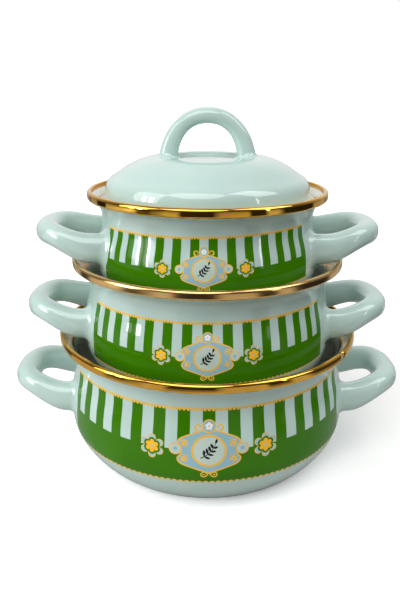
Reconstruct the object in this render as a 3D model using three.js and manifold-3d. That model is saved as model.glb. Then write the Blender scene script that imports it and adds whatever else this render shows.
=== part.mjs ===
// A nesting set of three enamelled steel casseroles with one domed lid, standing as a stack.
// Millimetres, +Z up. The origin is the centre of the large pot's base, on the surface it stands on.
// The loop handles point along +X and -X, and the decorated front faces -Y.
import * as THREE from 'three';
import * as BufferGeometryUtils from 'three/addons/utils/BufferGeometryUtils.js';
import Module from 'manifold-3d';

const wasm = await Module();
wasm.setup();

// ---------------------------------------------------------------- driving dimensions

// rimRadius: outside of the metal rim. rimZ: lower edge of the rim above the floor.
// height: from the pot's base to the top of its rim. reach: tip of a handle from the pot's axis.
// handleDrop: middle of a handle's tip below the rim's lower edge.
const POTS = [
  {
    name: 'large', rimRadius: 105.0, rimZ: 89.0, height: 95.0, neckRadius: 94.8, bellyRadius: 98.6,
    reach: 139.2, handleDrop: 31.8,
  },
  {
    name: 'medium', rimRadius: 94.2, rimZ: 141.7, height: 90.0, neckRadius: 83.4, bellyRadius: 87.4,
    reach: 127.0, handleDrop: 29.9,
  },
  {
    name: 'small', rimRadius: 82.3, rimZ: 186.7, height: 77.0, neckRadius: 72.8, bellyRadius: 77.0,
    reach: 118.2, handleDrop: 22.2,
  },
];

const AROUND = 36; // facets round every turned piece
const GAP = 0.3; // between pieces that touch
const WALL = 1.4; // steel with enamel on both sides

// Pot body
const BASE_FLAT = 0.76; // flat part of the base, as a share of the belly's radius
const BELLY_HEIGHT = 0.36; // belly's height above the base, as a share of the pot's height
const [BASE_TUCK, BELLY_TUCK] = [0.15, 0.51]; // how full the curve from the base to the belly is
const SHOULDER_FULL = [0.7, 0.4]; // and the curve from the belly to the neck
const NECK_DROP = 12; // from the rim's lower edge down to the neck
const FLARE_STEPS = 3; // facets from the neck to the flange's edge
const FLANGE_TIP = { inset: 2.4, rise: 1.6 }; // edge of the flared wall, inside the rim

// Metal rim: a rolled bead with a sloping ledge inside it for the lid
const RIM_HEIGHT = 6.0;
const RIM_BEAD = 4.6; // radial width of the bead
const RIM_SHEET = 0.6; // thickness of the ledge
const RIM_ROUND = 1.5; // rounding of the bead's edges

// Loop handles, hollow and open where they meet the body
const HANDLE_SPREAD = 30.8; // arm's centreline from the handle's middle
const HANDLE_THICK = 16.4; // across the arm, seen from above
const HANDLE_HEIGHT = { root: 19.8, tip: 15.2 };
const HANDLE_RISE = 8; // tip above root
const HANDLE_RUN = 32; // length of arm over which it rises
const HANDLE_SHEET = 1.2;
const HANDLE_ROUND = 2.8; // exponent of the loop's superellipse
const HANDLE_STEPS = 14;
const SECTION_POINTS = 8;

// Lid, measured from the small pot's rim
const LID_SHEET = 1.2;
const LID_TOP = 27.6; // shoulder above the rim's lower edge
const LID_SEAT_RADIUS = 73.4;
const LID_SEAT_DROP = 1.6; // underside of the lid's edge below the rim's lower edge
const LID_LIP = { radius: 69.6, drop: 6.5 }; // turned-down lip that centres the lid in the mouth
const LID_RECESS = { radius: 25.4, depth: 2.0 };
const LID_CREST = 32.4; // radius where the flat ring round the recess turns into the dome
const LID_SHOULDER = { radius: 59.8, height: 17.9 };
const LID_FOOT = { radius: 70.3, height: 1.5 };
const LID_HANDLE = { halfWidth: 27.4, height: 32.2, thick: 11.4, deep: 13.4, sink: 6, round: 2.15 };

const ENAMEL = { color: 0xc3dcd3, roughness: 0.12, metalness: 0.0 };
const GOLD = { color: 0xe9b24a, roughness: 0.14, metalness: 1.0 };

// ---------------------------------------------------------------- helpers

const point = (x, y) => new THREE.Vector2(x, y);

// A closed solid of revolution about Z from an outline of (radius, height) points.
function turned(outline) {
  const geometry = new THREE.LatheGeometry(outline, AROUND);
  geometry.rotateX(Math.PI / 2);
  return geometry;
}

// Points along a curve, without its first one.
function along(curve, count) {
  return curve.getPoints(count).slice(1);
}

function toManifold(geometry) {
  const bare = geometry.clone();
  bare.deleteAttribute('normal');
  bare.deleteAttribute('uv');
  const merged = BufferGeometryUtils.mergeVertices(bare, 1e-4);
  return new wasm.Manifold(new wasm.Mesh({
    numProp: 3,
    vertProperties: merged.attributes.position.array,
    triVerts: new Uint32Array(merged.index.array),
  }));
}

// What is left of a solid outside a cutter.
function cutAway(geometry, cutter) {
  const mesh = toManifold(geometry).subtract(toManifold(cutter)).getMesh();
  const result = new THREE.BufferGeometry();
  result.setAttribute('position', new THREE.BufferAttribute(new Float32Array(mesh.vertProperties), 3));
  result.setIndex(new THREE.BufferAttribute(new Uint32Array(mesh.triVerts), 1));
  return result.toNonIndexed();
}

function part(name, geometry, look) {
  geometry.computeVertexNormals();
  const mesh = new THREE.Mesh(geometry, new THREE.MeshStandardMaterial(look));
  mesh.name = name;
  return mesh;
}

// A rounded oval outline, used for the section of a handle.
function oval(halfX, halfY, count, curve = new THREE.Shape()) {
  const squareness = 0.82;
  for (let i = 0; i < count; i += 1) {
    const angle = (i / count) * 2 * Math.PI;
    const x = halfX * Math.sign(Math.cos(angle)) * Math.abs(Math.cos(angle)) ** squareness;
    const y = halfY * Math.sign(Math.sin(angle)) * Math.abs(Math.sin(angle)) ** squareness;
    if (i === 0) curve.moveTo(x, y);
    else curve.lineTo(x, y);
  }
  return curve;
}

// An oval section with the hole of a hollow pressing.
function hollowOval(halfX, halfY, sheet) {
  const outline = oval(halfX, halfY, SECTION_POINTS);
  outline.holes.push(oval(halfX - sheet, halfY - sheet, SECTION_POINTS - 2, new THREE.Path()));
  return outline;
}

// Half a superellipse in the XY plane: it leaves the Y axis along +X, rounds the tip and comes back.
class LoopCurve extends THREE.Curve {
  constructor(start, tip, halfSpread, exponent) {
    super();
    Object.assign(this, { start, tip, halfSpread, exponent });
  }

  getPoint(t, target = new THREE.Vector3()) {
    const angle = (t - 0.5) * Math.PI;
    const power = 2 / this.exponent;
    const x = this.start + (this.tip - this.start) * Math.abs(Math.cos(angle)) ** power;
    const y = this.halfSpread * Math.sign(angle) * Math.abs(Math.sin(angle)) ** power;
    return target.set(x, y, 0);
  }
}

// ---------------------------------------------------------------- pot body

// The flared top of the wall, moved in by "inward" from its outer face. Heights are from the rim's lower edge.
function flareCurve(pot, inward) {
  return new THREE.QuadraticBezierCurve(
    point(pot.neckRadius - inward, -NECK_DROP),
    point(pot.neckRadius - inward, -3.5 + 0.5 * inward),
    point(pot.rimRadius - FLANGE_TIP.inset - 0.6 * inward, FLANGE_TIP.rise + 0.8 * inward),
  );
}

// The wall from the edge of the base, round the belly, to the neck. Heights are from the pot's base.
function wallCurves(pot, inward) {
  const bellyZ = pot.height * BELLY_HEIGHT;
  const baseRadius = pot.bellyRadius * BASE_FLAT;
  const belly = pot.bellyRadius - inward;
  const neckZ = pot.height - RIM_HEIGHT - NECK_DROP;
  const bottom = new THREE.CubicBezierCurve(
    point(baseRadius, inward),
    point(baseRadius + BASE_TUCK * (belly - baseRadius), inward),
    point(belly, bellyZ * BELLY_TUCK + 0.5 * inward),
    point(belly, bellyZ),
  );
  const shoulder = new THREE.CubicBezierCurve(
    point(belly, bellyZ),
    point(belly, bellyZ + SHOULDER_FULL[0] * (neckZ - bellyZ)),
    point(pot.neckRadius - inward, neckZ - SHOULDER_FULL[1] * (neckZ - bellyZ)),
    point(pot.neckRadius - inward, neckZ),
  );
  return { bottom, shoulder, baseRadius };
}

// One side of the wall from the axis of the base to the flange, with heights above the floor.
function wallSide(pot, inward) {
  const { bottom, shoulder, baseRadius } = wallCurves(pot, inward);
  const baseZ = pot.rimZ + RIM_HEIGHT - pot.height;
  const lower = [point(0, inward), point(baseRadius, inward), ...along(bottom, 5), ...along(shoulder, 3)];
  const upper = along(flareCurve(pot, inward), FLARE_STEPS);
  return [
    ...lower.map((p) => point(p.x, p.y + baseZ)),
    ...upper.map((p) => point(p.x, p.y + pot.rimZ)),
  ];
}

function potBody(pot) {
  return turned([...wallSide(pot, 0), ...wallSide(pot, WALL).reverse()]);
}

// ---------------------------------------------------------------- metal rim

function potRim(pot) {
  const outer = pot.rimRadius;
  const inner = outer - RIM_BEAD;
  const ledgeTop = flareCurve(pot, WALL + GAP + RIM_SHEET);
  const ledgeUnder = flareCurve(pot, WALL + GAP);
  const [ledgeStart, ledgeMiddle] = [1 / FLARE_STEPS, 2 / FLARE_STEPS];
  const pocket = ledgeUnder.getPoint(1);
  const outline = [
    point(outer - 3.2, 0),
    point(outer - RIM_ROUND, 0),
    point(outer, RIM_ROUND),
    point(outer, RIM_HEIGHT - RIM_ROUND),
    point(outer - RIM_ROUND, RIM_HEIGHT),
    point(inner + RIM_ROUND, RIM_HEIGHT),
    point(inner, RIM_HEIGHT - RIM_ROUND),
    ledgeTop.getPoint(ledgeMiddle),
    ledgeTop.getPoint(ledgeStart),
    ledgeUnder.getPoint(ledgeStart),
    ledgeUnder.getPoint(ledgeMiddle),
    pocket,
    point(outer - FLANGE_TIP.inset + GAP, pocket.y),
    point(outer - FLANGE_TIP.inset + 0.4, FLANGE_TIP.rise - 0.4),
  ];
  outline.push(outline[0].clone());
  return turned(outline.map((p) => point(p.x, p.y + pot.rimZ)));
}

// ---------------------------------------------------------------- pot handles

// A smooth 0 to 1 step.
const ease = (t) => THREE.MathUtils.smoothstep(t, 0, 1);

function potHandle(pot) {
  const start = pot.neckRadius * 0.8;
  const tip = pot.reach - HANDLE_THICK / 2;
  const path = new LoopCurve(start, tip, HANDLE_SPREAD, HANDLE_ROUND);
  const section = hollowOval(HANDLE_HEIGHT.tip / 2, HANDLE_THICK / 2, HANDLE_SHEET);
  const geometry = new THREE.ExtrudeGeometry(section, { steps: HANDLE_STEPS, extrudePath: path });

  // The loop rises from its roots to its tip and gets lower in section on the way.
  const tipZ = pot.rimZ - pot.handleDrop;
  const growth = HANDLE_HEIGHT.root / HANDLE_HEIGHT.tip;
  const positions = geometry.attributes.position;
  for (let i = 0; i < positions.count; i += 1) {
    const out = ease(1 - (tip - positions.getX(i)) / HANDLE_RUN);
    const scale = THREE.MathUtils.lerp(growth, 1, out);
    positions.setZ(i, positions.getZ(i) * scale + tipZ - HANDLE_RISE * (1 - out));
  }
  return cutAway(geometry, turned([...wallSide(pot, -GAP), point(0, pot.rimZ)]));
}

// ---------------------------------------------------------------- lid

// The lid's outer face from its centre to the foot of its side, moved in by "inward".
function lidFace(inward) {
  const recessZ = LID_TOP - LID_RECESS.depth;
  const crown = new THREE.CubicBezierCurve(
    point(LID_CREST, LID_TOP - inward),
    point(LID_CREST + 12.3, LID_TOP - inward),
    point(LID_SHOULDER.radius - 5.3 - 0.6 * inward, LID_SHOULDER.height + 4 - 0.8 * inward),
    point(LID_SHOULDER.radius - 0.6 * inward, LID_SHOULDER.height - 0.8 * inward),
  );
  const side = new THREE.CubicBezierCurve(
    point(LID_SHOULDER.radius - 0.6 * inward, LID_SHOULDER.height - 0.8 * inward),
    point(LID_SHOULDER.radius + 7.4 - 0.7 * inward, LID_SHOULDER.height - 5.5 - 0.7 * inward),
    point(LID_FOOT.radius - 0.3 - inward, 13.5 - 0.4 * inward),
    point(LID_FOOT.radius - inward, LID_FOOT.height),
  );
  return [
    point(0, recessZ - inward),
    point(LID_RECESS.radius - 1 - 0.4 * inward, recessZ - inward),
    point(LID_RECESS.radius + 1 - 0.4 * inward, LID_TOP - inward),
    ...crown.getPoints(3),
    ...along(side, 4),
  ];
}

function lidShell(rimZ) {
  const seat = -LID_SEAT_DROP;
  const outline = [
    ...lidFace(0),
    point(LID_SEAT_RADIUS - 2.4, seat + LID_SHEET + 0.4),
    point(LID_SEAT_RADIUS, seat + LID_SHEET),
    point(LID_SEAT_RADIUS, seat),
    point(LID_LIP.radius, seat - 0.2),
    point(LID_LIP.radius - 0.6, -LID_LIP.drop),
    point(LID_LIP.radius - 0.6 - LID_SHEET, -LID_LIP.drop),
    point(LID_LIP.radius - LID_SHEET, seat),
    ...lidFace(LID_SHEET).reverse(),
  ];
  return turned(outline.reverse().map((p) => point(p.x, p.y + rimZ)));
}

function lidHandle(rimZ) {
  const { halfWidth, height, thick, deep, sink, round } = LID_HANDLE;
  const topZ = rimZ + LID_TOP + height - thick / 2;
  const path = new LoopCurve(-sink, height - thick / 2, halfWidth, round);
  const geometry = new THREE.ExtrudeGeometry(
    hollowOval(deep / 2, thick / 2, HANDLE_SHEET),
    { steps: HANDLE_STEPS, extrudePath: path },
  );
  // The loop is drawn lying down, pointing along +X; it stands up with its legs along X.
  geometry.rotateY(-Math.PI / 2);
  geometry.rotateZ(Math.PI / 2);
  geometry.translate(0, 0, topZ - (height - thick / 2));
  const cutter = turned([
    point(0, rimZ),
    point(LID_SEAT_RADIUS, rimZ),
    ...lidFace(-GAP).reverse().map((p) => point(p.x, p.y + rimZ)),
  ]);
  return cutAway(geometry, cutter);
}

// ---------------------------------------------------------------- the stack

const stack = new THREE.Group();

for (const pot of POTS) {
  const prefix = `pot_${pot.name}`;
  stack.add(part(`${prefix}_body`, potBody(pot), ENAMEL));
  stack.add(part(`${prefix}_rim`, potRim(pot), GOLD));
  for (const [side, turn] of [['right', 0], ['left', Math.PI]]) {
    const handle = part(`${prefix}_handle_${side}`, potHandle(pot), ENAMEL);
    handle.rotation.z = turn;
    stack.add(handle);
  }
}

const smallPot = POTS[POTS.length - 1];
stack.add(part('lid_shell', lidShell(smallPot.rimZ), ENAMEL));
stack.add(part('lid_handle', lidHandle(smallPot.rimZ), ENAMEL));

export default stack;
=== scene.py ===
"""Looks of a nesting set of three enamelled casseroles and a lid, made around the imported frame.

Lengths in this file are in millimetres, apart from the studio's and the materials', which are in metres.
Every piece's mesh is turned into metres where it is made, in PieceBuilder.piece.
"""
import math

import bpy
from mathutils import Matrix, Vector
from mathutils.geometry import delaunay_2d_cdt


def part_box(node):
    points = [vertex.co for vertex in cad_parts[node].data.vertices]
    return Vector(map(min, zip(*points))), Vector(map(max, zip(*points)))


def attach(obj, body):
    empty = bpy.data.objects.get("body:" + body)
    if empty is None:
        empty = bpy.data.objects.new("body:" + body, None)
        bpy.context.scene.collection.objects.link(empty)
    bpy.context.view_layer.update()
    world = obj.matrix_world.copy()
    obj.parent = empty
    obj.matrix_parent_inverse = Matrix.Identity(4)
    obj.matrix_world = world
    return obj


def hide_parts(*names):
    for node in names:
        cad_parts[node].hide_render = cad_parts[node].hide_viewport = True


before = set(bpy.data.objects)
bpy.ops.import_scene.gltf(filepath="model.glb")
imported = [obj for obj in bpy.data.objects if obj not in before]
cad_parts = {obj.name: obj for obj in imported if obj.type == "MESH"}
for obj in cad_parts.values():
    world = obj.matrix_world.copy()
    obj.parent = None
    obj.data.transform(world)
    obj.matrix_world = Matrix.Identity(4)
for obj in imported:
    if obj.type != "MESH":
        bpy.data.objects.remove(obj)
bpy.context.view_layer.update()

MM = 0.001

# ---------------------------------------------------------------- driving dimensions

AROUND = 192  # facets round every turned surface
FIRST_ANGLE = -math.pi / 2  # the turned surfaces start and end at -X, under a handle
SLACK = 0.1  # how far a ring of points may lie from the place it is looked for at
NEAR = 1e-4  # a distance, or a step along a curve, that counts as none
POINT_DIGITS = 4  # points that agree to this many digits after the point are one point

# Pot body: the same curves as in the CAD part, drawn finely
WALL = 1.4
BASE_FLAT = 0.76  # flat part of the base, as a share of the belly's radius
BELLY_HEIGHT = 0.36  # as a share of the pot's height
BASE_TUCK, BELLY_TUCK = 0.15, 0.51  # how full the curve from the base to the belly is
SHOULDER_LOW, SHOULDER_HIGH = 0.7, 0.4  # and the curve from the belly to the neck
NECK_DROP = 12.0  # from the rim's lower edge down to the neck
FLARE_START = -3.5  # height at which the flare's two tangents meet, from the rim's lower edge
FLANGE_INSET, FLANGE_RISE = 2.4, 1.6  # edge of the flared wall inside the rim
MIDDLE_STEPS = 6  # rings of facets across a flat base, and across the lid's recess
BOTTOM_STEPS, SHOULDER_STEPS, FLARE_STEPS = 32, 24, 16  # and up the three curves of a wall

# Metal rim
RIM_HEIGHT = 6.0
RIM_WIDTH = 3.0
RIM_FOOT = 3.2  # width of the bead's underside
RIM_ROUND_LOW, RIM_ROUND_HIGH, RIM_ROUND_INSIDE = 1.7, 2.0, 0.9
RIM_GAP = 0.05  # between the band and the inside of the flared wall that it grips
RIM_LEDGE_RISE = 0.15  # of the seat's ledge, from the wall to the bead
RIM_POCKET_END, RIM_POCKET_HIGH, RIM_POCKET_LOW = 0.3, 0.9, 0.4  # past the flared wall's edge
RIM_JOINT_ANGLES = {"large": 56, "medium": 204, "small": 168}  # where the band's ends meet, from the front
RIM_JOINT_GAP = 0.12
SEAT_LINE = (5, 8)  # gold line round the lid's seat, in steps down the inside from the flange's edge

# Loop handles
HANDLE_SPREAD = 30.8
HANDLE_THICK = 16.4
HANDLE_ROOT_HEIGHT, HANDLE_TIP_HEIGHT = 19.8, 15.2
HANDLE_RISE, HANDLE_RUN = 8.0, 32.0
HANDLE_ROUND = 2.83  # the loop's exponent: 2 is an ellipse, more is boxier
HANDLE_START = 0.8  # where the loop's centre line starts, as a share of the neck's radius
HANDLE_WELD = 4.2  # radius of the fillet against the wall
SQUARENESS = 0.83  # of every handle's section: 1 is an ellipse, less is boxier
HANDLE_RINGS, HANDLE_SIDES = 112, 40
EMBED = 0.6  # how deep a handle's ends are sunk into the wall
BISECTIONS = 30  # steps of the search for the place where a handle enters the wall

# Lid, with heights from the small pot's rim
LID_SHEET = 1.2
LID_RECESS_RADIUS, LID_RECESS_DEPTH = 25.4, 2.0
LID_RECESS_FLAT, LID_RECESS_LEAN, LID_RECESS_OUT = 1.8, 0.2, 2.2  # reach of the recess's step curve
LID_CREST, LID_CREST_LEAD = 32.4, 12.3  # a lead is how far a curve's tangent reaches from its end
LID_SHOULDER_RADIUS, LID_SHOULDER_HEIGHT = 59.8, 17.9
LID_SHOULDER_LEAD_IN, LID_SHOULDER_LEAD_OUT = Vector((-5.3, 4.0)), Vector((7.4, -5.5))
LID_FOOT_RADIUS, LID_FOOT_HEIGHT = 70.3, 1.5
LID_FOOT_LEAN, LID_FOOT_LEAD = 0.3, 12.0
RECESS_STEPS, CROWN_STEPS, SIDE_STEPS = 10, 24, 28
LID_SEAT_DROP = 1.6
LID_FOOT_ROUND = 1.6  # fillet between the dome and the flange
LID_FLANGE_RISE = 0.6  # of the flange, from its edge to that fillet
LID_EDGE_ROUND = 0.6  # of the flange's and the lip's edges
LID_LIP_RADIUS, LID_LIP_DROP = 69.6, 6.5
LID_LIP_LEAN = 0.3
LID_HANDLE_HALF_WIDTH = 26.8
LID_HANDLE_TOP_THICK, LID_HANDLE_FOOT_THICK = 10.6, 13.0
LID_HANDLE_DEEP = 13.4
LID_HANDLE_ROUND = 2.15
LID_HANDLE_WELD = 3.0
LID_HANDLE_SINK = 6.0

# Printed decoration. Heights are below the rim's lower edge, and angles are from the front. The stripes are
# green and bare ones in turn, green at both ends. Slant is how crooked the transfer was laid on.
PRINTS = {
    "large": {"scale": 1.0, "top": 14.1, "stripe_end": 39.8, "centre": 40.4, "bottom": 62.8,
              "stripes": 29, "stripe": 4.54, "flower": 20.65, "yaw": 0.4, "slant": 0.6},
    "medium": {"scale": 0.80, "top": 16.9, "stripe_end": 37.8, "centre": 38.1, "bottom": 56.0,
               "stripes": 29, "stripe": 4.10, "flower": 18.75, "yaw": -0.3, "slant": 0.5},
    "small": {"scale": 0.70, "top": 12.6, "stripe_end": 31.8, "centre": 32.0, "bottom": 47.5,
              "stripes": 27, "stripe": 4.23, "flower": 19.0, "yaw": -2.1, "slant": 1.2},
}
LACE_LINE = 0.38  # half the width of the gold lines, on a print of full size
LACE_FIXED, LACE_SCALED = 0.4, 0.6  # shares of that width that stay, and that follow the print's scale
LACE_BEADS = 3  # beads under the upper gold line, for each stripe
LACE_BEAD = 0.26 / 1.9  # a bead's radius, as a share of a stripe's width
LACE_BEAD_DROP = 1.4  # of a bead's middle below the line's, in halves of the line's width
LACE_ARCH = 3.75  # width of one arch of the lower lace, on a print of full size
PRINT_MARGIN = 4.5  # bare wall kept between the printed patch's edge and the artwork
PATCH_STEP = 2.4  # size of the patch's facets
PATCH_CLEAR = 0.2  # no ring of the plain wall is closer than this to the patch

# Motifs, in millimetres from the plaque's middle on a print of full size
TOP_JEWEL = 15.5
SIDE_JEWEL = (19.8, 0.9)
STUD_SIDE, CURL_SIDE, STUD_HEIGHTS = 14.8, 14.6, (4.6, -4.8)  # yellow dots, and the curls round them
TIP_CURL, TIP_BEAD = (3.1, -15.7), (3.2, -15.7)
CROWN_CURL = (6.5, 14.6)
OUTLINE = 0.45  # half the width of the plaque's gold outline
RIBBON_TAPER = 0.6  # share of its width that a scroll loses towards its end
LEAF_FULLNESS = 0.8  # less than 1 is fuller than a sine curve

# Textures, as (scale, detail) of a noise over the piece, in metres
NOISES = {
    "cloud": (28.0, 3.0),
    "smudge": (60.0, 4.0),
    "flow": (38.0, 1.0),
    "orange peel": (700.0, 2.0),
    "pinholes": (1700.0, 1.0),
    "ink cloud": (45.0, 3.0),
    "ink smudge": (80.0, 4.0),
    "screen grain": (2600.0, 1.0),
    "coating": (50.0, 4.0),
    "fingerprints": (120.0, 5.0),
    "polishing lines": (2400.0, 3.0),
    "dents": (70.0, 1.0),
    "paper cloud": (3.0, 3.0),
    "paper tooth": (300.0, 3.0),
    "table sectors": (2.4, 0.0),
}
NOISE_RANGE = (0.3, 0.7)  # where nearly all of a noise's values lie
FLOW_DEPTH, INK_FLOW_DEPTH, PEEL_DEPTH = 0.00004, 0.00006, 0.0000035
LINE_DEPTH, DENT_DEPTH, TOOTH_DEPTH = 0.0000008, 0.000012, 0.00001
ENAMEL_TONES, PINHOLE_TONE = (0.955, 1.03), 0.45  # shares of a material's colour
PINHOLE_RANGE, PINHOLE_STRENGTH = (0.80, 0.84), 0.35
INK_TONES, GRAIN_STRENGTH = (0.9, 1.05), 0.5
ENAMEL_SMUDGE, INK_SMUDGE, METAL_SMUDGE = 0.05, 0.06, 0.04  # how much rougher smudged places are

# Studio, in metres. The floor and the room look different to the camera and to the glaze.
PAPER_TONES = ("f4f4f3", "f8f8f7")
TABLE_NEAR, TABLE_DARK, TABLE_PALE = "bcbcba", "161412", "b8b8b5"  # what the glaze sees of the floor
TABLE_EDGE = (0.2, 0.3)  # distances between which the near tone gives way to the sectors
SECTOR_EDGE = (0.46, 0.54)  # noise values between which a sector turns from dark to pale
GLOW_NEAR, GLOW_FAR = 0.16, 0.85  # how much painted light the floor gives off for the camera
GLOW_REACH = (0.14, 0.5)
GLOW_CENTRE = (0.14, 0.1, 0.0)  # where the painted glow is weakest, so that the cast shadow shows there
FLOOR_RADIUS, FLOOR_SIDES = 6.0, 48
ROOM_SIDES = (
    ((0, 0, 1), 0.12),
    ((-1, 0, 0), 0.06),
    ((1, 0, 0), 0.1),
    ((0, -1, 0), 0.08),
    ((0, 0.96, 0.28), 0.9),
)  # directions in which the room is bright, and how bright it is there
ROOM_FOCUS = 2.0  # how fast that brightness falls off to the sides
LIGHT_TARGET = (0, 0, 0.12)
PANEL = {"shape": "RECTANGLE", "size": 0.6, "size_y": 0.9}
STRIP = {"shape": "RECTANGLE", "size": 0.05, "size_y": 0.5}
PANE = {"shape": "RECTANGLE", "size": 0.11, "size_y": 0.5}
LIGHTS = (
    ("SUN", "soft_sun", (-0.3, -1.0, 1.5), 1.5, {"angle": math.radians(50)}),
    ("AREA", "softbox_left", (-0.9, -0.35, 0.55), 4.7, PANEL),
    ("AREA", "softbox_right", (0.7, -0.25, 1.0), 5.4, PANEL),
    ("AREA", "strip_right", (0.85, -0.64, 0.3), 0.4, STRIP),
    ("AREA", "window_pane_front", (-0.93, -0.51, 0.3), 1.5, PANE),
    ("AREA", "window_pane_back", (-1.0, -0.36, 0.3), 1.5, PANE),
)

# Camera, from its fit to the photo, in metres and degrees
CAMERA_PLACE = (-0.005, -0.4255, 0.25763)
CAMERA_PITCH, CAMERA_ROLL = 14.954, 0.14
CAMERA_LENS, CAMERA_SHIFT = 37.107, -0.075
CAMERA_CLIP = 0.01

# ---------------------------------------------------------------- outlines


def bezier(controls, t):
    """A point of a plane curve and the normal to the right of its direction."""
    points = [Vector(c) for c in controls]
    while len(points) > 2:
        points = [a.lerp(b, t) for a, b in zip(points, points[1:])]
    tangent = points[1] - points[0]
    return points[0].lerp(points[1], t), Vector((tangent.y, -tangent.x)).normalized()


def curve_points(controls, count):
    """Points and normals along a curve, with both ends."""
    return [bezier(controls, i / count) for i in range(count + 1)]


def arc(centre, radius, start, end, count):
    """Points of a circular arc between two angles in degrees, with both ends."""
    angles = [math.radians(start + (end - start) * i / count) for i in range(count + 1)]
    return [(centre[0] + radius * math.cos(a), centre[1] + radius * math.sin(a)) for a in angles]


def smoothstep(t):
    """0 up to t = 0, 1 from t = 1, and a smooth step between them."""
    t = min(max(t, 0.0), 1.0)
    return t * t * (3 - 2 * t)


def eased(t):
    """A share from 0 to 1 that changes slowly near both ends."""
    return (1 - math.cos(math.pi * t)) / 2


def power(value, exponent):
    """A power that keeps the value's sign."""
    return math.copysign(abs(value) ** exponent, value)


# ---------------------------------------------------------------- making a piece


class PieceBuilder:
    """Collects one piece's points, their normals, and its faces with their materials."""

    def __init__(self):
        self.points = []
        self.normals = []
        self.known = {}
        self.faces = []
        self.looks = []

    def point(self, position, normal=(0, 0, 0)):
        """The number of the point at a position. Points at the same place are one point."""
        key = tuple(round(c, POINT_DIGITS) for c in position)
        if key not in self.known:
            self.known[key] = len(self.points)
            self.points.append(Vector(position))
            self.normals.append(Vector(normal))
        return self.known[key]

    def face(self, loop, look=0):
        """Adds a face, without the corners that fall on each other."""
        kept = [c for i, c in enumerate(loop) if c != loop[i - 1]]
        if len(set(kept)) == len(kept) > 2:
            self.faces.append(kept)
            self.looks.append(look)

    def bridge(self, low, high, look=0):
        """Joins two rings of points of the same length."""
        for i in range(len(low)):
            j = (i + 1) % len(low)
            self.face([low[i], low[j], high[j], high[i]], look)

    def ring(self, position, normal=(0, 0)):
        """A circle of points about Z. Position and normal are (outwards, up)."""
        row = []
        for i in range(AROUND):
            angle = FIRST_ANGLE + math.tau * i / AROUND
            row.append(self.point(around(angle, *position), around(angle, *normal)))
        return row

    def turned(self, outline, look=0):
        """A surface of revolution from (point, normal) pairs, facing to the right of their order."""
        rows = [self.ring(position, normal) for position, normal in outline]
        for low, high in zip(rows, rows[1:]):
            self.bridge(low, high, look)

    def piece(self, name, body, replaced, slot, materials):
        """Makes the object, in metres, and ties it to the frame. Pieces without normals get Blender's."""
        mesh = bpy.data.meshes.new(name)
        mesh.from_pydata([p * MM for p in self.points], [], self.faces)
        for material in materials:
            mesh.materials.append(material)
        mesh.polygons.foreach_set("material_index", self.looks)
        mesh.polygons.foreach_set("use_smooth", [True] * len(mesh.polygons))
        if any(n.length_squared > 0 for n in self.normals):
            mesh.normals_split_custom_set_from_vertices([n.normalized() for n in self.normals])
        mesh.update()
        piece = bpy.data.objects.new(name, mesh)
        bpy.context.scene.collection.objects.link(piece)
        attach(piece, body)
        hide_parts(replaced)
        return piece


def around(angle, outwards, up):
    """A vector in space from its part away from the Z axis and its part along it. Angle 0 is the front."""
    return (outwards * math.sin(angle), -outwards * math.cos(angle), up)


# ---------------------------------------------------------------- sizes from the frame


def node_corners(node):
    """A CAD node's lowest and highest corners, in millimetres."""
    low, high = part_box(node)
    return low / MM, high / MM


def node_radius(node, low, high):
    """The largest distance from the Z axis of a CAD node's points between two heights."""
    reach = 0.0
    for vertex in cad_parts[node].data.vertices:
        if low <= vertex.co.z / MM <= high:
            reach = max(reach, math.hypot(vertex.co.x, vertex.co.y) / MM)
    return reach


class Pot:
    """One pot's sizes, read from its CAD nodes, and the curve of its wall."""

    def __init__(self, name):
        self.name = name
        self.prefix = f"pot_{name}"
        self.body = f"{name}_pot"
        rim_top = node_corners(f"{self.prefix}_rim")[1]
        wall_low = node_corners(f"{self.prefix}_body")[0]
        handle_high = node_corners(f"{self.prefix}_handle_right")[1]
        self.rim_radius = rim_top.x
        self.rim_z = rim_top.z - RIM_HEIGHT
        self.base_z = wall_low.z
        self.neck_z = self.rim_z - NECK_DROP
        self.belly_z = self.base_z + BELLY_HEIGHT * (rim_top.z - self.base_z)
        self.belly = node_radius(f"{self.prefix}_body", self.base_z, self.belly_z + SLACK)
        self.neck = node_radius(f"{self.prefix}_body", self.neck_z - SLACK, self.neck_z + SLACK)
        self.reach = handle_high.x
        self.tip_z = handle_high.z - HANDLE_TIP_HEIGHT / 2
        self.flat = self.belly * BASE_FLAT
        self.outside = self.wall_curve()
        # The wall past the flat base, where every height has one radius
        self.upright = [p for p in self.outside if p[0].x > self.flat + SLACK]

    def wall_curve(self):
        """Points and normals of the outside, from the edge of the flat base up to the flange."""
        flat = self.flat
        rise = self.neck_z - self.belly_z
        bottom = [
            (flat, self.base_z),
            (flat + BASE_TUCK * (self.belly - flat), self.base_z),
            (self.belly, self.base_z + BELLY_TUCK * (self.belly_z - self.base_z)),
            (self.belly, self.belly_z),
        ]
        shoulder = [
            (self.belly, self.belly_z),
            (self.belly, self.belly_z + SHOULDER_LOW * rise),
            (self.neck, self.neck_z - SHOULDER_HIGH * rise),
            (self.neck, self.neck_z),
        ]
        outline = curve_points(bottom, BOTTOM_STEPS)
        outline += curve_points(shoulder, SHOULDER_STEPS)[1:]
        return outline + curve_points(self.flare(), FLARE_STEPS)[1:]

    def flare(self):
        """The controls of the curve from the neck out to the flange."""
        return [
            (self.neck, self.neck_z),
            (self.neck, self.rim_z + FLARE_START),
            (self.rim_radius - FLANGE_INSET, self.rim_z + FLANGE_RISE),
        ]

    def at(self, z):
        """Radius and normal of the outside at a height."""
        for (low, low_normal), (high, high_normal) in zip(self.upright, self.upright[1:]):
            if z <= high.y:
                break
        share = min(max((z - low.y) / (high.y - low.y), 0.0), 1.0)
        return low.lerp(high, share).x, low_normal.lerp(high_normal, share).normalized()


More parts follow.
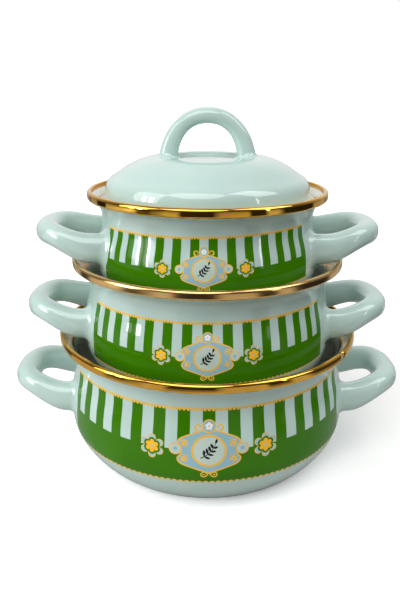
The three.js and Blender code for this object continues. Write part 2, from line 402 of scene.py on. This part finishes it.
# ---------------------------------------------------------------- materials


def linear(hex_code):
    """A material colour from its six sRGB digits."""
    channels = [int(hex_code[i:i + 2], 16) / 255 for i in (0, 2, 4)]
    return tuple(c / 12.92 if c <= 0.04045 else ((c + 0.055) / 1.055) ** 2.4 for c in channels) + (1.0,)


def shaded(colour, factor):
    """A colour made darker or brighter."""
    return tuple(c * factor for c in colour[:3]) + (1.0,)


class Look:
    """A material's node tree, with short calls for the nodes that the materials here share."""

    def __init__(self, name):
        self.material = bpy.data.materials.new(name)
        self.material.use_nodes = True
        self.nodes = self.material.node_tree.nodes
        self.links = self.material.node_tree.links
        self.shader = self.nodes["Principled BSDF"]
        self.place = self.nodes.new("ShaderNodeTexCoord").outputs["Object"]

    def noise(self, name, vector=None):
        """One of the noises listed above, over the piece or over another vector."""
        scale, detail = NOISES[name]
        node = self.nodes.new("ShaderNodeTexNoise")
        node.inputs["Scale"].default_value = scale
        node.inputs["Detail"].default_value = detail
        self.links.new(vector or self.place, node.inputs["Vector"])
        return node.outputs["Fac"]

    def spread(self, value, low, high, start=NOISE_RANGE[0], end=NOISE_RANGE[1]):
        """A value moved from the range start..end to low..high."""
        node = self.nodes.new("ShaderNodeMapRange")
        node.inputs["From Min"].default_value = start
        node.inputs["From Max"].default_value = end
        node.inputs["To Min"].default_value = low
        node.inputs["To Max"].default_value = high
        self.links.new(value, node.inputs["Value"])
        return node.outputs["Result"]

    def distance(self, centre):
        """How far a point of the surface is from a fixed place."""
        node = self.nodes.new("ShaderNodeVectorMath")
        node.operation = "DISTANCE"
        node.inputs[1].default_value = centre
        self.links.new(self.place, node.inputs[0])
        return node.outputs["Value"]

    def mix(self, factor, first, second):
        """A blend of two colours, each a socket or a plain colour."""
        node = self.nodes.new("ShaderNodeMix")
        node.data_type = "RGBA"
        self.links.new(factor, node.inputs["Factor"])
        for socket, colour in (("A", first), ("B", second)):
            target = [s for s in node.inputs if s.name == socket and s.type == "RGBA"][0]
            if isinstance(colour, tuple):
                target.default_value = colour
            else:
                self.links.new(colour, target)
        return [s for s in node.outputs if s.type == "RGBA"][0]

    def bump(self, height, distance, base=None):
        """A bump of that depth in metres, on top of another one if a base is given."""
        node = self.nodes.new("ShaderNodeBump")
        node.inputs["Distance"].default_value = distance
        self.links.new(height, node.inputs["Height"])
        if base is not None:
            self.links.new(base, node.inputs["Normal"])
        return node.outputs["Normal"]

    def set(self, **values):
        """Sets the shader's own sockets, by their names with _ for a space."""
        for name, value in values.items():
            self.shader.inputs[name.replace("_", " ")].default_value = value

    def link(self, **sockets):
        """Links other nodes' outputs to the shader's own sockets."""
        for name, socket in sockets.items():
            self.links.new(socket, self.shader.inputs[name.replace("_", " ")])


def enamel(name, hex_code, gloss=0.03):
    """Fired glass enamel: slightly uneven in colour, with a soft flow, fine orange peel and pinholes."""
    look = Look(name)
    colour = linear(hex_code)
    cloud = look.spread(look.noise("cloud"), 0.0, 1.0)
    clouded = look.mix(cloud, *(shaded(colour, tone) for tone in ENAMEL_TONES))
    pinhole = look.spread(look.noise("pinholes"), 0.0, PINHOLE_STRENGTH, *PINHOLE_RANGE)
    flowed = look.bump(look.noise("flow"), FLOW_DEPTH)
    look.link(
        Base_Color=look.mix(pinhole, clouded, shaded(colour, PINHOLE_TONE)),
        Roughness=look.spread(look.noise("smudge"), gloss, gloss + ENAMEL_SMUDGE),
        Normal=look.bump(look.noise("orange peel"), PEEL_DEPTH, flowed),
    )
    look.set(IOR=1.52, Coat_Weight=0.6, Coat_Roughness=0.015, Coat_IOR=1.5)
    return look.material


def print_ink(name, hex_code, gloss=0.06):
    """A transfer print fired into the enamel, with the fine grain of its screen."""
    look = Look(name)
    colour = linear(hex_code)
    dull, bright = (shaded(colour, tone) for tone in INK_TONES)
    cloud = look.spread(look.noise("ink cloud"), 0.0, 1.0)
    grain = look.spread(look.noise("screen grain"), 0.0, GRAIN_STRENGTH)
    look.link(
        Base_Color=look.mix(grain, look.mix(cloud, dull, bright), dull),
        Roughness=look.spread(look.noise("ink smudge"), gloss, gloss + INK_SMUDGE),
        Normal=look.bump(look.noise("flow"), INK_FLOW_DEPTH),
    )
    look.set(IOR=1.5, Specular_IOR_Level=0.18)
    return look.material


def gold_metal(name, gloss, low, high):
    """Steel with a gold-coloured coating between two tones, and fine polishing lines round the rim."""
    look = Look(name)
    split = look.nodes.new("ShaderNodeSeparateXYZ")
    look.links.new(look.place, split.inputs["Vector"])
    radius = look.nodes.new("ShaderNodeVectorMath")
    radius.operation = "LENGTH"
    flat = look.nodes.new("ShaderNodeCombineXYZ")
    look.links.new(split.outputs["X"], flat.inputs["X"])
    look.links.new(split.outputs["Y"], flat.inputs["Y"])
    look.links.new(flat.outputs["Vector"], radius.inputs[0])
    line_place = look.nodes.new("ShaderNodeCombineXYZ")
    look.links.new(radius.outputs["Value"], line_place.inputs["X"])
    look.links.new(split.outputs["Z"], line_place.inputs["Y"])
    tone = look.spread(look.noise("coating"), 0.0, 1.0)
    lines = look.noise("polishing lines", line_place.outputs["Vector"])
    dented = look.bump(look.noise("dents"), DENT_DEPTH)
    look.link(
        Base_Color=look.mix(tone, linear(low), linear(high)),
        Roughness=look.spread(look.noise("fingerprints"), gloss, gloss + METAL_SMUDGE),
        Normal=look.bump(lines, LINE_DEPTH, dented),
    )
    look.set(Metallic=1.0, Specular_IOR_Level=0.5)
    return look.material


def floor_material():
    """White paper with painted light: it glows for the camera alone, least round the cast shadow, and is
    greyer for the glaze.
    """
    look = Look("pale_floor")
    seen = look.nodes.new("ShaderNodeLightPath").outputs["Is Camera Ray"]
    cloud = look.spread(look.noise("paper cloud"), 0.0, 1.0)
    paper = look.mix(cloud, *(linear(tone) for tone in PAPER_TONES))
    bearing = look.nodes.new("ShaderNodeVectorMath")
    bearing.operation = "NORMALIZE"
    look.links.new(look.place, bearing.inputs[0])
    noise = look.noise("table sectors", bearing.outputs["Vector"])
    sectors = look.mix(look.spread(noise, 0.0, 1.0, *SECTOR_EDGE), linear(TABLE_DARK), linear(TABLE_PALE))
    far = look.spread(look.distance((0, 0, 0)), 0.0, 1.0, *TABLE_EDGE)
    table = look.mix(far, linear(TABLE_NEAR), sectors)
    # painted light: the paper's glow for camera rays, weakest round GLOW_CENTRE where the cast shadow lies
    glow = look.nodes.new("ShaderNodeMath")
    glow.operation = "MULTIPLY"
    strength = look.spread(look.distance(GLOW_CENTRE), GLOW_NEAR, GLOW_FAR, *GLOW_REACH)
    look.links.new(seen, glow.inputs[0])
    look.links.new(strength, glow.inputs[1])
    look.link(
        Base_Color=look.mix(seen, table, paper),
        Emission_Strength=glow.outputs["Value"],
        Normal=look.bump(look.noise("paper tooth"), TOOTH_DEPTH),
    )
    look.set(Emission_Color=(1.0, 1.0, 1.0, 1.0), Roughness=0.85, Specular_IOR_Level=0.2)
    return look.material


AQUA = enamel("enamel_aqua", "bdd6cf")
INTERIOR = enamel("enamel_interior", "e4e6dc", 0.10)
GOLD_RIMS = {
    "large": gold_metal("gold_rim_large", 0.04, "e0a43c", "f2bd58"),
    "medium": gold_metal("gold_rim_medium", 0.15, "e6b672", "f0c789"),
    "small": gold_metal("gold_rim_small", 0.03, "e0a43c", "f2bd58"),
}
INKS = {
    "bare": AQUA,
    "green": print_ink("print_green", "3a7900"),
    "gold": print_ink("print_gold", "f4c250", 0.16),
    "yellow": print_ink("print_yellow", "ffc233"),
    "blue": print_ink("print_blue", "99c0cc"),
    "petal": print_ink("print_petal", "a9cccd"),
    "pale": print_ink("print_pale", "c5d6cc"),
    "white": print_ink("print_white", "f2f5f3"),
    "dark": print_ink("print_dark", "1f2a26"),
}
INK_ORDER = list(INKS)

# ---------------------------------------------------------------- printed artwork


def box_shape(left, low, right, high):
    """A rectangle's outline."""
    return [(left, low), (right, low), (right, high), (left, high)]


def disc(x, y, radius, count=36):
    """A circle's outline."""
    return arc((x, y), radius, 0, 360 - 360 / count, count - 1)


def smooth_loop(controls, steps=8):
    """A closed Catmull-Rom curve through the control points."""
    count = len(controls)
    loop = []
    for i in range(count):
        before, start, end, after = (Vector(controls[(i + k - 1) % count]) for k in range(4))
        for s in range(steps):
            t = s / steps
            loop.append(tuple(0.5 * (
                2 * start + (end - before) * t + (2 * before - 5 * start + 4 * end - after) * t ** 2
                + (3 * start - before - 3 * end + after) * t ** 3
            )))
    return loop


def grown(loop, distance):
    """A counter-clockwise outline moved outwards by a distance, or inwards if it is negative."""
    count = len(loop)
    moved = []
    for i in range(count):
        ahead = Vector(loop[(i + 1) % count]) - Vector(loop[i - 1])
        normal = Vector((ahead.y, -ahead.x)).normalized()
        moved.append(tuple(Vector(loop[i]) + normal * distance))
    return moved


def ribbon(line, width):
    """The outline of a stroke along an open line, narrower towards its end."""
    left, right = [], []
    last = len(line) - 1
    for i, place in enumerate(line):
        ahead = Vector(line[min(i + 1, last)]) - Vector(line[max(i - 1, 0)])
        normal = Vector((-ahead.y, ahead.x)).normalized() * width / 2 * (1 - RIBBON_TAPER * i / last)
        left.append(tuple(Vector(place) + normal))
        right.append(tuple(Vector(place) - normal))
    return right + left[::-1]


def leaf(x, y, length, width, angle):
    """A pointed leaf that starts at a place and points along an angle in degrees."""
    turn = Matrix.Rotation(math.radians(angle), 2)
    steps = 10
    edge = []
    for i in range(steps + 1):
        edge.append((length * i / steps, width / 2 * math.sin(math.pi * i / steps) ** LEAF_FULLNESS))
    outline = [(u, -v) for u, v in edge] + edge[-2:0:-1]
    return [tuple(Vector((x, y)) + turn @ Vector(p)) for p in outline]


def petals(x, y, count, distance, radius, start=90):
    """Discs in a circle, which overlap into a flower."""
    places = arc((x, y), distance, start, start + 360 - 360 / count, count - 1)
    return [disc(px, py, radius, 28) for px, py in places]


def flower(x, y):
    """A rosette of six yellow petals in a green star, with a crescent past each of the star's points."""
    shapes = [("gold", s) for s in petals(x, y, 6, 5.4, 2.45)]
    shapes += [("petal", s) for s in petals(x, y, 6, 5.25, 2.1)]
    shapes += [("green", s) for s in petals(x, y, 6, 3.4, 2.15)]
    shapes += [("green", disc(x, y, 3.4))]
    shapes += [("yellow", s) for s in petals(x, y, 6, 2.8, 1.45)]
    shapes += [("yellow", disc(x, y, 2.7)), ("petal", disc(x, y, 0.8))]
    return shapes


def plaque():
    """A plain bracket-shaped plaque with jewels and a round picture of a leafy sprig."""
    half = [(3.9, 12.6), (10.8, 10.4), (16.4, 7.9), (18.4, 5.3), (16.6, 2.6), (16.6, -2.2), (18.6, -5.3),
            (16.6, -8.6), (9.5, -11.3), (2.4, -13.8)]
    loop = smooth_loop([(-x, y) for x, y in half] + [(0, -14.6)] + half[::-1])
    shapes = [("gold", grown(loop, OUTLINE)), ("blue", grown(loop, -OUTLINE))]
    for side in (1, -1):
        shapes += scrolls(side)
        jewel = (side * SIDE_JEWEL[0], SIDE_JEWEL[1])
        shapes += [("gold", disc(*jewel, 3.9)), ("pale", disc(*jewel, 3.25)), ("blue", disc(*jewel, 1.3))]
    shapes += [("gold", disc(0, TOP_JEWEL, 4.2)), ("blue", disc(0, TOP_JEWEL, 3.4))]
    shapes += [("white", s) for s in petals(0, TOP_JEWEL, 5, 1.4, 1.0)]
    shapes += [("gold", disc(0, TOP_JEWEL, 0.5, 16))]
    shapes += [("gold", disc(0, 0, 10.4, 72)), ("pale", disc(0, 0, 9.0, 72))]
    return shapes + sprig()


def scrolls(side):
    """The gold scrolls and their studs on one side of the plaque, where side is 1 or -1."""
    crown = arc((side * CROWN_CURL[0], CROWN_CURL[1]), 1.7, 90 - side * 180, 90 + side * 130, 20)
    tip = [(side * 0.3, -14.4), (side * 1.1, -16.1)]
    tip += arc((side * TIP_CURL[0], TIP_CURL[1]), 1.65, 90 + side * 145, 90 + side * 475, 24)
    shapes = [("gold", ribbon(crown, 1.3)), ("gold", ribbon(tip, 1.0))]
    shapes += [("gold", disc(side * TIP_BEAD[0], TIP_BEAD[1], 0.6, 16))]
    for height, up in zip(STUD_HEIGHTS, (1, -1)):
        curl = arc((side * CURL_SIDE, height), 2.1, up * (90 - side * 60), up * (90 + side * 200), 20)
        shapes += [("gold", ribbon(curl, 1.1)), ("yellow", disc(side * STUD_SIDE, height, 1.25))]
    return shapes


def sprig():
    """A curved stem with pairs of leaves."""
    controls = [(-5.0, -4.6), (-1.0, -3.2), (2.6, 0.4), (3.8, 5.0)]
    stem = [tuple(place) for place, _ in curve_points(controls, 16)]
    shapes = [("dark", ribbon(stem, 0.7)), ("dark", leaf(3.7, 4.6, 3.4, 1.5, 70))]
    for index, step in enumerate((3, 6, 9, 12)):
        x, y = stem[step]
        length = 4.6 - 0.35 * index
        shapes.append(("dark", leaf(x, y, length, 1.7, 92 + 8 * index)))
        shapes.append(("dark", leaf(x, y, length * 0.85, 1.5, -22 + 14 * index)))
    return shapes


def artwork(radius, settings):
    """One side's decoration as (ink, outline) pairs in the order they are painted.

    Outlines are measured along a cylinder of that radius from the front, and down from the rim's edge.
    """
    stripe = math.radians(settings["stripe"]) * radius
    half = settings["stripes"] * stripe / 2
    top, stripe_end, bottom = -settings["top"], -settings["stripe_end"], -settings["bottom"]
    scale = settings["scale"]
    shapes = [("green", box_shape(-half, bottom, half, stripe_end))]
    for number in range(0, settings["stripes"], 2):
        left = -half + number * stripe
        shapes.append(("green", box_shape(left, stripe_end, left + stripe, top)))
    line = LACE_LINE * (LACE_FIXED + LACE_SCALED * scale)
    shapes.append(("gold", box_shape(-half, top - line, half, top + line)))
    for number in range(LACE_BEADS * settings["stripes"]):
        centre = -half + (number + 0.5) * stripe / LACE_BEADS
        shapes.append(("gold", disc(centre, top - LACE_BEAD_DROP * line, LACE_BEAD * stripe, 16)))
    arches = round(2 * half / (LACE_ARCH * scale))
    pitch = 2 * half / arches
    for ink, reach in (("gold", pitch / 2), ("bare", pitch / 2 - 2 * line)):
        for number in range(arches):
            shapes.append((ink, arc((-half + (number + 0.5) * pitch, bottom), reach, 0, 180, 10)))
    centre = -settings["centre"]
    reach = math.radians(settings["flower"]) * radius / scale
    motifs = plaque() + flower(reach, 0.4) + flower(-reach, 0.4)
    shapes += [(ink, [(x * scale, centre + y * scale) for x, y in shape]) for ink, shape in motifs]
    return shapes


def subdivided(outline, step):
    """An outline with extra points on its long sides, so that it can follow a curved wall."""
    dense = []
    for (x0, y0), (x1, y1) in zip(outline, outline[1:] + outline[:1]):
        count = max(1, math.ceil(math.hypot(x1 - x0, y1 - y0) / step))
        dense += [(x0 + (x1 - x0) * i / count, y0 + (y1 - y0) * i / count) for i in range(count)]
    return dense


def printed_patch(builder, pot, low, high):
    """The part of the outside wall that carries the print, cut along every outline of the artwork.

    A triangle takes the ink of the topmost outline that it lies in. Points on the patch's border keep their
    exact place, so that they are also points of the walls above and below.
    """
    settings = PRINTS[pot.name]
    radius = pot.neck
    first, last = FIRST_ANGLE * radius, (FIRST_ANGLE + math.tau) * radius
    columns, rows = AROUND, math.ceil((high - low) / PATCH_STEP)
    across = [first + (last - first) * i / columns for i in range(columns + 1)]
    up = [low + (high - low) * i / rows for i in range(rows + 1)]
    border = [(x, low) for x in across] + [(last, y) for y in up[1:]]
    border += [(x, high) for x in across[-2::-1]] + [(first, y) for y in up[-2:0:-1]]
    points = [Vector(p) for p in border]
    outlines = [list(range(len(border)))]
    looks = [0]
    slant = math.tan(math.radians(settings["slant"]))
    for turn in (0, math.pi):
        shift = (math.radians(settings["yaw"]) + turn) * radius
        for ink, shape in artwork(radius, settings):
            laid = [(x + shift, y + x * slant + pot.rim_z) for x, y in shape]
            dense = subdivided(laid, PATCH_STEP)
            outlines.append(list(range(len(points), len(points) + len(dense))))
            looks.append(INK_ORDER.index(ink))
            points += [Vector(p) for p in dense]
    points += [Vector((x, y)) for x in across[1:-1] for y in up[1:-1]]
    inside_only = 1
    cut = delaunay_2d_cdt(points, [], outlines, inside_only, NEAR)
    places, _, triangles, origins, _, sources = cut
    numbers = []
    for place, origin in zip(places, origins):
        on_border = [i for i in origin if i < len(border)]
        x, y = border[on_border[0]] if on_border else place
        reach, normal = pot.at(y)
        angle = x / radius
        numbers.append(builder.point(around(angle, reach, y), around(angle, *normal)))
    for triangle, source in zip(triangles, sources):
        builder.face([numbers[i] for i in triangle], looks[max(source)] if source else 0)


# ---------------------------------------------------------------- pots


def make_body(pot):
    """The pressed steel shell: the outside with its print, the wall's edge and the inside."""
    settings = PRINTS[pot.name]
    low = pot.rim_z - settings["bottom"] - PRINT_MARGIN
    high = pot.rim_z - settings["top"] + PRINT_MARGIN
    builder = PieceBuilder()
    base = []
    for i in range(MIDDLE_STEPS):
        base.append((Vector((pot.flat * i / MIDDLE_STEPS, pot.base_z)), Vector((0, -1))))
    below = [p for p in pot.outside if p[0].y < low - PATCH_CLEAR]
    above = [p for p in pot.outside if p[0].y > high + PATCH_CLEAR]
    edges = []
    for z in (low, high):
        radius, normal = pot.at(z)
        edges.append((Vector((radius, z)), normal))
    builder.turned(base + below + [edges[0]])
    printed_patch(builder, pot, low, high)
    builder.turned([edges[1]] + above)
    inside = [(p - n * WALL, -n) for p, n in (base + pot.outside)[::-1]]
    builder.turned([above[-1], inside[0]])
    interior, gold = len(INKS), len(INKS) + 1
    builder.turned(inside[:SEAT_LINE[0] + 1], interior)
    builder.turned(inside[SEAT_LINE[0]:SEAT_LINE[1] + 1], gold)
    builder.turned(inside[SEAT_LINE[1]:], interior)
    materials = [*INKS.values(), INTERIOR, GOLD_RIMS[pot.name]]
    builder.piece(f"{pot.prefix}_shell", pot.body, f"{pot.prefix}_body", "enamel", materials)


def rim_section(pot):
    """The rim's section as (radius, height) points, counter-clockwise with the radius to the right."""
    outer, base = pot.rim_radius, pot.rim_z
    bead = [(outer - RIM_FOOT, base)]
    bead += arc((outer - RIM_ROUND_LOW, base + RIM_ROUND_LOW), RIM_ROUND_LOW, -90, 0, 6)
    bead += arc((outer - RIM_ROUND_HIGH, base + RIM_HEIGHT - RIM_ROUND_HIGH), RIM_ROUND_HIGH, 0, 90, 10)
    inner = outer - RIM_WIDTH + RIM_ROUND_INSIDE
    bead += arc((inner, base + RIM_HEIGHT - RIM_ROUND_INSIDE), RIM_ROUND_INSIDE, 90, 180, 6)
    tip, normal = bezier(pot.flare(), 1.0)
    seat = tip - normal * (WALL + RIM_GAP)
    pocket = [
        (outer - RIM_WIDTH, seat.y + RIM_LEDGE_RISE),
        tuple(seat),
        (tip.x + RIM_POCKET_END, tip.y + RIM_POCKET_HIGH),
        (tip.x + RIM_POCKET_END, tip.y - RIM_POCKET_LOW),
    ]
    return bead + pocket


def make_rim(pot):
    """The metal band, rolled from a strip whose ends meet in a fine joint."""
    section = rim_section(pot)
    builder = PieceBuilder()
    half_gap = RIM_JOINT_GAP / 2 / pot.rim_radius
    start = math.radians(RIM_JOINT_ANGLES[pot.name]) + half_gap
    turn = math.tau - 2 * half_gap
    rows = []
    for i in range(AROUND + 1):
        angle = start + turn * i / AROUND
        rows.append([builder.point(around(angle, *p)) for p in section])
    for row, following in zip(rows, rows[1:]):
        builder.bridge(following, row)
    builder.face(rows[0])
    builder.face(rows[-1][::-1])
    materials = [GOLD_RIMS[pot.name]]
    piece = builder.piece(f"{pot.prefix}_rim_band", pot.body, f"{pot.prefix}_rim", "rim_metal", materials)
    for end in (-1, -2):
        piece.data.polygons[end].use_smooth = False


def weld(distance, radius):
    """How far a fillet of that radius swells a handle at a distance from the wall."""
    inside = min(max(radius - distance, 0.0), radius)
    return radius - math.sqrt(radius ** 2 - inside ** 2)


def loop_surface(start, tip, half_spread, exponent, across, section):
    """A function of (t, side angle) for a tube along half a superellipse, with its centre line.

    t runs from 0 at one root to 1 at the other. across gives the tube's width at a distance along X, and
    section its height and how high its middle is.
    """
    def centre(t):
        angle = (t - 0.5) * math.pi
        return Vector((
            start + (tip - start) * abs(math.cos(angle)) ** (2 / exponent),
            half_spread * power(math.sin(angle), 2 / exponent),
        ))

    def surface(t, side):
        place = centre(t)
        ahead = centre(min(t + NEAR, 1.0)) - centre(max(t - NEAR, 0.0))
        outward = Vector((ahead.y, -ahead.x)).normalized()
        half = across(place.x) / 2
        flat = place + outward * half * power(math.cos(side), SQUARENESS)
        height, lift = section(flat.x)
        return (
            Vector((flat.x, flat.y, lift + height / 2 * power(math.sin(side), SQUARENESS))),
            Vector((place.x, place.y, lift)),
        )
    return surface


def loop_rows(surface, depth, settle, fillet):
    """Rings of points of a tube whose two ends are sunk into a wall, closer together towards the ends.

    depth gives how far a point is outside the wall, and settle moves a point out of the wall by a distance.
    Each line along the tube starts where it comes to EMBED below the wall's face. Near the wall the fillet
    swells the tube sideways, and settle keeps each point's depth as it was.
    """
    columns = []
    for k in range(HANDLE_SIDES):
        side = math.tau * (k + 0.5) / HANDLE_SIDES
        low, high = 0.0, 0.5
        for _ in range(BISECTIONS):
            middle = (low + high) / 2
            if depth(surface(middle, side)[0]) < -EMBED:
                low = middle
            else:
                high = middle
        column = []
        for i in range(HANDLE_RINGS + 1):
            share = eased(i / HANDLE_RINGS)
            t = high + (1 - 2 * high) * (share + eased(share)) / 2
            place, centre = surface(t, side)
            before = depth(place)
            swollen = place + (place - centre).normalized() * weld(max(before, 0.0), fillet)
            column.append(settle(swollen, before - depth(swollen)) if before < fillet else swollen)
        columns.append(column)
    return list(zip(*columns))


def tube(builder, rows, depth, settle, transform):
    """A closed tube through rings of points, with a fan over each end whose middle is EMBED in the wall."""
    numbers = [[builder.point(transform @ p) for p in row] for row in rows]
    for row, following in zip(numbers, numbers[1:]):
        builder.bridge(following, row)
    for row, ring in ((numbers[0], rows[0]), (numbers[-1][::-1], rows[-1])):
        middle = sum(ring, Vector()) / len(ring)
        hub = builder.point(transform @ settle(middle, -EMBED - depth(middle)))
        for i in range(len(row)):
            builder.face([row[i - 1], row[i], hub])


def make_pot_handle(pot, side):
    """A loop handle, drawn on the right and turned to its side."""
    tip = pot.reach - HANDLE_THICK / 2

    def section(x):
        out = smoothstep(1 - (tip - x) / HANDLE_RUN)
        height = HANDLE_ROOT_HEIGHT + (HANDLE_TIP_HEIGHT - HANDLE_ROOT_HEIGHT) * out
        return height, pot.tip_z - HANDLE_RISE * (1 - out)

    def depth(place):
        return math.hypot(place.x, place.y) - pot.at(place.z)[0]

    def settle(place, distance):
        return place + Vector((place.x, place.y, 0)).normalized() * distance

    def across(x):
        return HANDLE_THICK

    surface = loop_surface(pot.neck * HANDLE_START, tip, HANDLE_SPREAD, HANDLE_ROUND, across, section)
    rows = loop_rows(surface, depth, settle, HANDLE_WELD)
    turn = Matrix.Rotation(0 if side == "right" else math.pi, 4, "Z")
    builder = PieceBuilder()
    tube(builder, rows, depth, settle, turn)
    node = f"{pot.prefix}_handle_{side}"
    builder.piece(f"{node}_loop", pot.body, node, "enamel", [AQUA])


# ---------------------------------------------------------------- lid


def lid_top_curve(base, top):
    """Points and normals of the lid's outside, from its centre to its foot."""
    recess_z = top - LID_RECESS_DEPTH
    foot = base + LID_FOOT_HEIGHT
    recess = [
        (LID_RECESS_RADIUS - LID_RECESS_FLAT, recess_z),
        (LID_RECESS_RADIUS, recess_z),
        (LID_RECESS_RADIUS - LID_RECESS_LEAN, top),
        (LID_RECESS_RADIUS + LID_RECESS_OUT, top),
    ]
    shoulder = Vector((LID_SHOULDER_RADIUS, base + LID_SHOULDER_HEIGHT))
    crown = [
        (LID_CREST, top),
        (LID_CREST + LID_CREST_LEAD, top),
        shoulder + LID_SHOULDER_LEAD_IN,
        shoulder,
    ]
    side = [
        shoulder,
        shoulder + LID_SHOULDER_LEAD_OUT,
        (LID_FOOT_RADIUS - LID_FOOT_LEAN, foot + LID_FOOT_LEAD),
        (LID_FOOT_RADIUS, foot),
    ]
    outline = []
    for i in range(MIDDLE_STEPS):
        outline.append((Vector((LID_RECESS_RADIUS * i / MIDDLE_STEPS, recess_z)), Vector((0, -1))))
    outline += curve_points(recess, RECESS_STEPS)
    outline += curve_points(crown, CROWN_STEPS)
    outline += curve_points(side, SIDE_STEPS)[1:]
    return [(place, -normal) for place, normal in outline]


def lid_height(outline, radius):
    """The height of the lid's outside at a radius."""
    for (near, _), (far, _) in zip(outline, outline[1:]):
        if radius <= far.x:
            break
    share = min(max((radius - near.x) / max(far.x - near.x, NEAR), 0.0), 1.0)
    return near.lerp(far, share).y


def make_lid(pot):
    """The dome with its flange and lip, made for the pot below, and its handle."""
    seat_radius = node_corners("lid_shell")[1].x
    top = node_corners("lid_shell")[1].z
    base = pot.rim_z
    outside = lid_top_curve(base, top)
    seat = base - LID_SEAT_DROP
    foot_z = seat + LID_SHEET + LID_FLANGE_RISE + LID_FOOT_ROUND
    rounded = LID_EDGE_ROUND
    lip = LID_LIP_RADIUS - LID_LIP_LEAN
    # The flange slopes outwards, so the arcs at its two ends stop short of level
    edge = [
        *arc((LID_FOOT_RADIUS + LID_FOOT_ROUND, foot_z), LID_FOOT_ROUND, 180, 262, 6),
        *arc((seat_radius - rounded, seat + rounded), rounded, 80, -90, 8),
        *arc((LID_LIP_RADIUS + rounded, seat - rounded), rounded, 90, 180, 5),
        *arc((lip - rounded, base - LID_LIP_DROP + rounded), rounded, 0, -180, 8),
        (lip - LID_SHEET, seat),
    ]
    inside = [p - n * LID_SHEET for p, n in outside[::-1]]
    outline = [p for p, _ in outside] + edge + [p for p in inside if p.x < LID_FOOT_RADIUS - LID_SHEET]
    builder = PieceBuilder()
    builder.turned([(p, (0, 0)) for p in outline[::-1]])
    builder.piece("lid_dome", "lid", "lid_shell", "enamel", [AQUA])
    make_lid_handle(outside, top)


def make_lid_handle(outside, top):
    """The lid's arched handle, drawn as a loop with X for up and then stood on the lid."""
    apex = node_corners("lid_handle")[1].z
    root = top - LID_HANDLE_SINK
    tip = apex - LID_HANDLE_TOP_THICK / 2 - root

    def across(rise):
        out = smoothstep(rise / tip)
        return LID_HANDLE_FOOT_THICK + (LID_HANDLE_TOP_THICK - LID_HANDLE_FOOT_THICK) * out

    def depth(place):
        return root + place.x - lid_height(outside, math.hypot(place.y, place.z))

    def settle(place, distance):
        return place + Vector((distance, 0, 0))

    def section(rise):
        return LID_HANDLE_DEEP, 0.0

    surface = loop_surface(0.0, tip, LID_HANDLE_HALF_WIDTH, LID_HANDLE_ROUND, across, section)
    rows = loop_rows(surface, depth, settle, LID_HANDLE_WELD)
    stand = Matrix(((0, 1, 0, 0), (0, 0, 1, 0), (1, 0, 0, root), (0, 0, 0, 1)))
    builder = PieceBuilder()
    tube(builder, rows, depth, settle, stand)
    builder.piece("lid_handle_arch", "lid", "lid_handle", "enamel", [AQUA])


# ---------------------------------------------------------------- set, light and camera


def make_floor():
    """A round floor, far wider than the stack."""
    mesh = bpy.data.meshes.new("floor")
    ring = [around(math.tau * i / FLOOR_SIDES, FLOOR_RADIUS, 0) for i in range(FLOOR_SIDES)]
    mesh.from_pydata(ring, [], [list(range(FLOOR_SIDES))])
    mesh.materials.append(floor_material())
    floor = bpy.data.objects.new("floor", mesh)
    bpy.context.scene.collection.objects.link(floor)


def make_light(kind, name, place, watts, settings):
    """A light that points at the middle of the stack."""
    light = bpy.data.lights.new(name, kind)
    light.energy = watts
    for key, value in settings.items():
        setattr(light, key, value)
    lamp = bpy.data.objects.new(name, light)
    lamp.location = place
    lamp.rotation_euler = (Vector(LIGHT_TARGET) - Vector(place)).to_track_quat("-Z", "Y").to_euler()
    bpy.context.scene.collection.objects.link(lamp)


def room_light(nodes, links):
    """How bright the room is in each direction: a soft lobe towards each of its bright sides."""
    direction = nodes.new("ShaderNodeTexCoord").outputs["Generated"]
    total = None  # each side's last step adds the sides before it
    for side, level in ROOM_SIDES:
        towards = nodes.new("ShaderNodeVectorMath")
        towards.operation = "DOT_PRODUCT"
        towards.inputs[1].default_value = side
        links.new(direction, towards.inputs[0])
        value = towards.outputs["Value"]
        steps = (("MAXIMUM", 0.0), ("POWER", ROOM_FOCUS), ("MULTIPLY", level), ("ADD", 0.0))
        for operation, number in steps:
            step = nodes.new("ShaderNodeMath")
            step.operation = operation
            step.inputs[1].default_value = number
            links.new(value, step.inputs[0])
            value = step.outputs["Value"]
        if total is not None:
            links.new(total, step.inputs[1])
        total = value
    return total


def make_world():
    """A plain studio. The camera sees a white backdrop, and the glaze the room."""
    world = bpy.data.worlds.new("studio")
    world.use_nodes = True
    nodes, links = world.node_tree.nodes, world.node_tree.links
    room = nodes["Background"]
    links.new(room_light(nodes, links), room.inputs["Color"])
    backdrop = nodes.new("ShaderNodeBackground")
    backdrop.inputs["Color"].default_value = (1.0, 1.0, 1.0, 1.0)
    path = nodes.new("ShaderNodeLightPath")
    choice = nodes.new("ShaderNodeMixShader")
    links.new(path.outputs["Is Camera Ray"], choice.inputs["Fac"])
    links.new(room.outputs["Background"], choice.inputs[1])
    links.new(backdrop.outputs["Background"], choice.inputs[2])
    links.new(choice.outputs["Shader"], nodes["World Output"].inputs["Surface"])
    bpy.context.scene.world = world
    bpy.context.scene.view_settings.view_transform = "Standard"


def make_camera():
    """The camera at the photo's viewing angle."""
    data = bpy.data.cameras.new("camera")
    data.lens = CAMERA_LENS
    data.shift_y = CAMERA_SHIFT
    data.clip_start = CAMERA_CLIP
    camera = bpy.data.objects.new("camera", data)
    pitch = Matrix.Rotation(math.radians(90 - CAMERA_PITCH), 4, "X")
    roll = Matrix.Rotation(math.radians(CAMERA_ROLL), 4, "Z")
    camera.matrix_world = Matrix.Translation(CAMERA_PLACE) @ pitch @ roll
    bpy.context.scene.collection.objects.link(camera)
    bpy.context.scene.camera = camera


make_camera()
make_world()
for light in LIGHTS:
    make_light(*light)
make_floor()
pots = [Pot(name) for name in PRINTS]
for pot in pots:
    make_body(pot)
    make_rim(pot)
    for side in ("right", "left"):
        make_pot_handle(pot, side)
make_lid(pots[-1])
